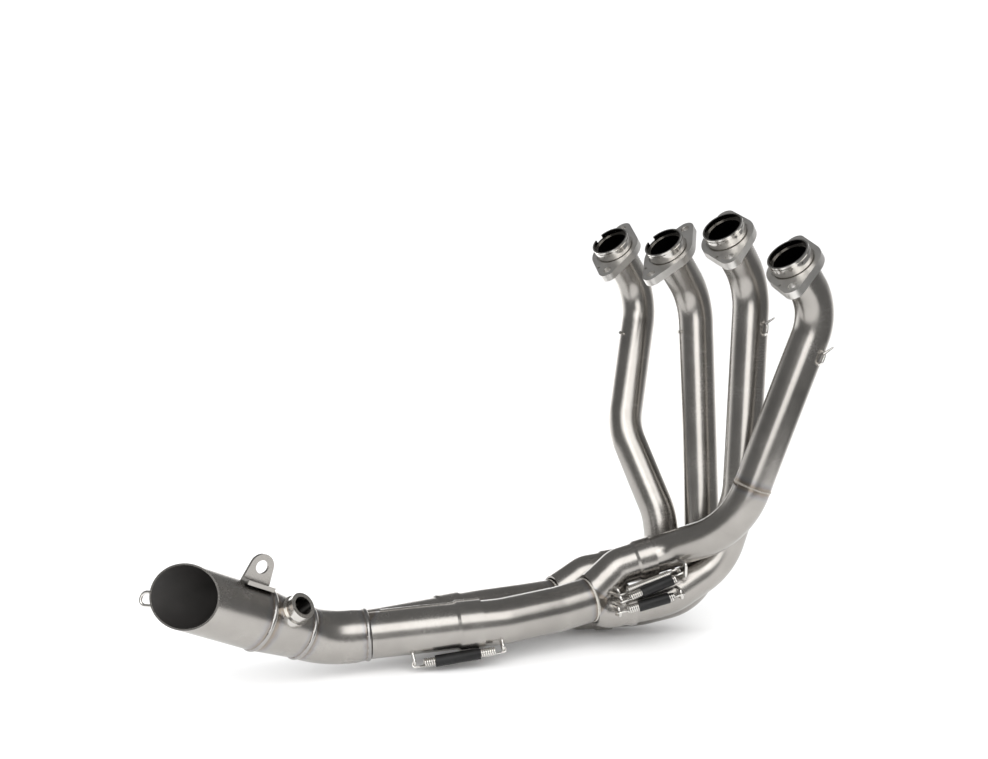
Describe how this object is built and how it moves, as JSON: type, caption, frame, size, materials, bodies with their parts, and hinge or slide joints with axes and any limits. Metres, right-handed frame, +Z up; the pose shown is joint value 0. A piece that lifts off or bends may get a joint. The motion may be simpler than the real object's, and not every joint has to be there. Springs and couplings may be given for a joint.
{
  "type": "motorcycle exhaust header",
  "caption": "Motorcycle exhaust header: bent head pipes with port flanges join through spring-held collectors into an outlet tube with a sensor boss.",
  "frame": {"origin": "middle of the bounding box in plan, at its lowest point", "axes": "+X to the front of the motorcycle, +Y to its left, +Z up as the header lies on the floor"},
  "size_m": [0.5703, 0.3168, 0.4255],
  "materials": {
    "brushed_steel": "brushed stainless, satin",
    "turned_steel": "turned, bright",
    "cast_satin": "cast and tumbled, satin",
    "wire_steel": "bright wire",
    "rubber": "matt black sleeve"
  },
  "bodies": {
    "root": {"head_pipe_1": "brushed_steel", "head_pipe_2": "brushed_steel", "head_pipe_3": "brushed_steel", "head_pipe_4_upper": "brushed_steel", "head_pipe_4_lower": "brushed_steel", "port_sleeve_1": "turned_steel", "port_sleeve_2": "turned_steel", "port_sleeve_3": "turned_steel", "port_sleeve_4": "turned_steel", "port_flange_1": "cast_satin", "port_flange_2": "cast_satin", "port_flange_3": "cast_satin", "port_flange_4": "cast_satin", "near_leg_upper": "brushed_steel", "near_leg_lower": "brushed_steel", "far_leg_upper": "brushed_steel", "far_leg_lower": "brushed_steel", "near_secondary": "brushed_steel", "far_secondary": "brushed_steel", "near_branch": "brushed_steel", "far_branch": "brushed_steel", "tail_bend": "brushed_steel", "tail_cone": "brushed_steel", "outlet_tube": "brushed_steel", "sensor_boss": "turned_steel", "hanger_bracket": "brushed_steel", "outlet_loop": "wire_steel", "side_hook_3": "wire_steel", "side_hook_4": "wire_steel", "pipe_stubs": "wire_steel", "pipe_loop_3": "wire_steel", "pipe_loop_4": "wire_steel", "ring_loop_upper": "wire_steel", "ring_loop_lower": "wire_steel", "spring_upper": "wire_steel", "spring_lower": "wire_steel", "spring_inner": "wire_steel", "sleeve_upper": "rubber", "sleeve_lower": "rubber", "branch_loop": "wire_steel", "secondary_loop": "wire_steel", "spring_under": "wire_steel", "sleeve_under": "rubber"}
  },
  "joints": []
}
